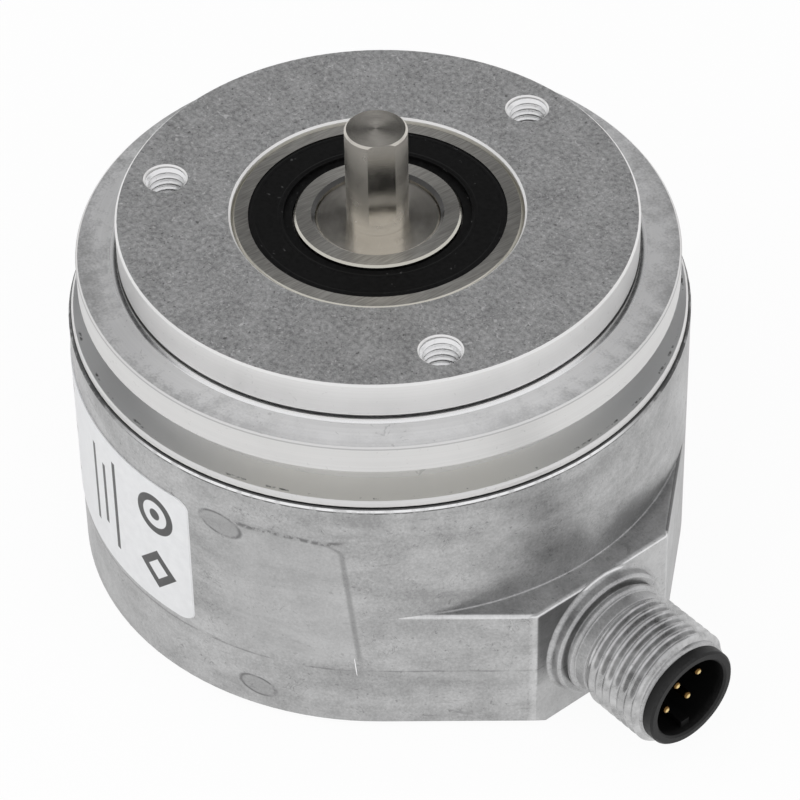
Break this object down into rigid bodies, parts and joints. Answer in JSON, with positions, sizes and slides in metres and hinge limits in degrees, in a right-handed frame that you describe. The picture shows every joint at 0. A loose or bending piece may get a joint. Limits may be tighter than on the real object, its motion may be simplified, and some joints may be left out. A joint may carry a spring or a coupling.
{
  "type": "incremental rotary encoder",
  "caption": "Round shaft encoder: servo flange with pilot and tapped holes, sealed ball bearings, slotted disc, cast housing and a radial round connector.",
  "frame": {"origin": "on the shaft axis, in the front face of the pilot", "axes": "+Z along the shaft, out of the flange; +X along the connector"},
  "size_m": [0.0752, 0.0603, 0.0494],
  "materials": {
    "machined_aluminium": "turned and face-milled, fine lay, light handling marks",
    "cast_aluminium": "tumbled die casting, mottled grey",
    "black_rubber": "moulded, satin",
    "zinc_steel": "zinc plated",
    "bearing_steel": "ground",
    "spring_steel": "rolled",
    "stainless_steel": "turned and ground",
    "cage_plastic": "moulded",
    "black_plastic": "moulded, satin",
    "clear_resin": "clear",
    "board_laminate": "solder mask",
    "chip_plastic": "moulded",
    "brass_parts": "turned",
    "white_plastic": "moulded",
    "gold_plate": "plated, bright",
    "flex_film": "polyimide film",
    "label_film": "printed film, left plain",
    "hub_aluminium": "turned",
    "disc_steel": "etched sheet"
  },
  "bodies": {
    "root": {"flange": "machined_aluminium", "housing": "cast_aluminium", "housing_o_ring": "black_rubber", "housing_screws": "zinc_steel", "front_bearing_outer_ring": "bearing_steel", "front_bearing_seals": "black_rubber", "rear_bearing_outer_ring": "bearing_steel", "rear_bearing_seals": "black_rubber", "preload_spring": "spring_steel", "light_source_holder": "black_plastic", "holder_screws": "zinc_steel", "led": "clear_resin", "circuit_board": "board_laminate", "sensor_chip": "chip_plastic", "board_standoffs": "brass_parts", "board_screws": "zinc_steel", "board_components": "chip_plastic", "board_socket": "white_plastic", "connector_insert": "black_plastic", "connector_o_ring": "black_rubber", "contact_pins": "gold_plate", "connector_board": "board_laminate", "connector_flex": "flex_film", "label": "label_film"},
    "rotor": {"shaft": "stainless_steel", "front_bearing_inner_ring": "bearing_steel", "rear_bearing_inner_ring": "bearing_steel", "bearing_spacer": "stainless_steel", "retaining_ring": "spring_steel", "disc_hub": "hub_aluminium", "code_disc": "disc_steel", "hub_screw": "zinc_steel"},
    "front_ball_train": {"front_bearing_balls": "bearing_steel", "front_bearing_cage": "cage_plastic"},
    "rear_ball_train": {"rear_bearing_balls": "bearing_steel", "rear_bearing_cage": "cage_plastic"}
  },
  "joints": [
    {"name": "shaft_spin", "type": "hinge", "parent": "root", "child": "rotor", "pos_m": [0, 0, 0], "axis": [0, 0, 1], "continuous": true},
    {"name": "front_ball_train_spin", "type": "hinge", "parent": "root", "child": "front_ball_train", "pos_m": [0, 0, 0], "axis": [0, 0, 1], "continuous": true},
    {"name": "rear_ball_train_spin", "type": "hinge", "parent": "root", "child": "rear_ball_train", "pos_m": [0, 0, 0], "axis": [0, 0, 1], "continuous": true}
  ],
  "couplings": [
    {"joint": "front_ball_train_spin", "follows": "shaft_spin", "ratio": 0.38095},
    {"joint": "rear_ball_train_spin", "follows": "shaft_spin", "ratio": 0.38095}
  ]
}
